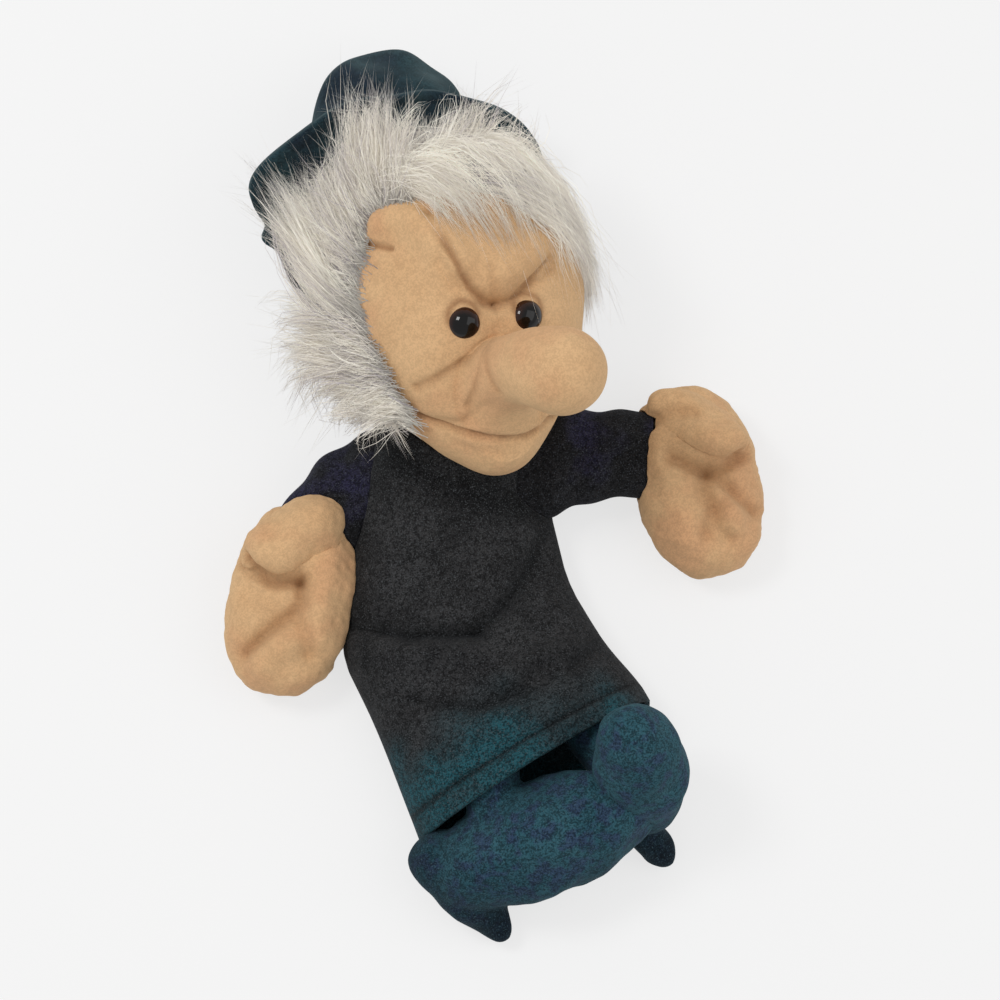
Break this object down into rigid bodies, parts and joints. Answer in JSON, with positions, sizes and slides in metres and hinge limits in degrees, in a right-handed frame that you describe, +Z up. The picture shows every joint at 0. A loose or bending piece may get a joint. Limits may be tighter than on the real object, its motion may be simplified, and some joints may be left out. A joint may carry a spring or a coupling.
{
  "type": "finger puppet",
  "caption": "Plush glove puppet of a scowling old woman with a bulb nose, fur wig and soft hat, lying on its back, open at the hem for a hand.",
  "frame": {"origin": "on the flat of the glove's back panel, under the middle of the body", "axes": "+Z up and out of the puppet's front, +Y towards its head, +X towards its left hand"},
  "size_m": [0.2056, 0.3309, 0.1243],
  "materials": {
    "skin": "short pile velour, peach tan",
    "eye": "gloss, dark brown",
    "washer": "plain white",
    "lining": "plain woven lining",
    "fur": "long pile faux fur, silver grey",
    "hat": "short pile velour, dark teal",
    "velour": "short pile velour, charcoal black",
    "boot": "short pile velour, dark teal and navy"
  },
  "bodies": {
    "root": {"head": "skin", "eye_left": "eye", "eye_right": "eye", "eye_washer_left": "washer", "eye_washer_right": "washer", "finger_tube": "lining", "wig": "fur", "hat_crown": "hat", "hat_brim": "hat", "glove_front": "velour", "glove_back": "velour", "sleeve_left": "velour", "sleeve_right": "velour", "hand_left": "skin", "hand_right": "skin", "boot_left": "boot", "boot_right": "boot"}
  },
  "joints": []
}
